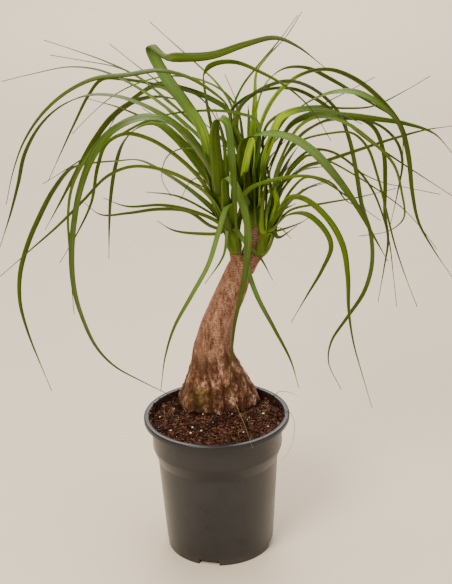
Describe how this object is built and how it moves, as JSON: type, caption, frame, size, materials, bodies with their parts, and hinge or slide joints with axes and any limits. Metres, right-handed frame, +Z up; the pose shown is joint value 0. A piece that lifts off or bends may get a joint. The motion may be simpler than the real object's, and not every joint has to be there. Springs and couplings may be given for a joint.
{
  "type": "potted ponytail palm",
  "caption": "House plant with a swollen base, a leaning trunk and heads of long arching strap leaves, standing in a round plastic nursery pot of soil.",
  "frame": {"origin": "on the floor under the middle of the pot, on the flat pad in the middle of the pot's underside", "axes": "+Z up; -Y is the front that the picture shows; +X is the side that the trunk leans to"},
  "size_m": [0.6309, 0.2861, 0.7642],
  "materials": {
    "pot": "moulded, satin, charcoal",
    "soil": "loose peat mix, matt",
    "bark": "rough bark, matt",
    "leaf": "living leaf, slight sheen"
  },
  "bodies": {
    "root": {"pot": "pot", "soil": "soil", "trunk": "bark", "head_left": "leaf", "head_middle": "leaf", "head_right": "leaf"}
  },
  "joints": []
}
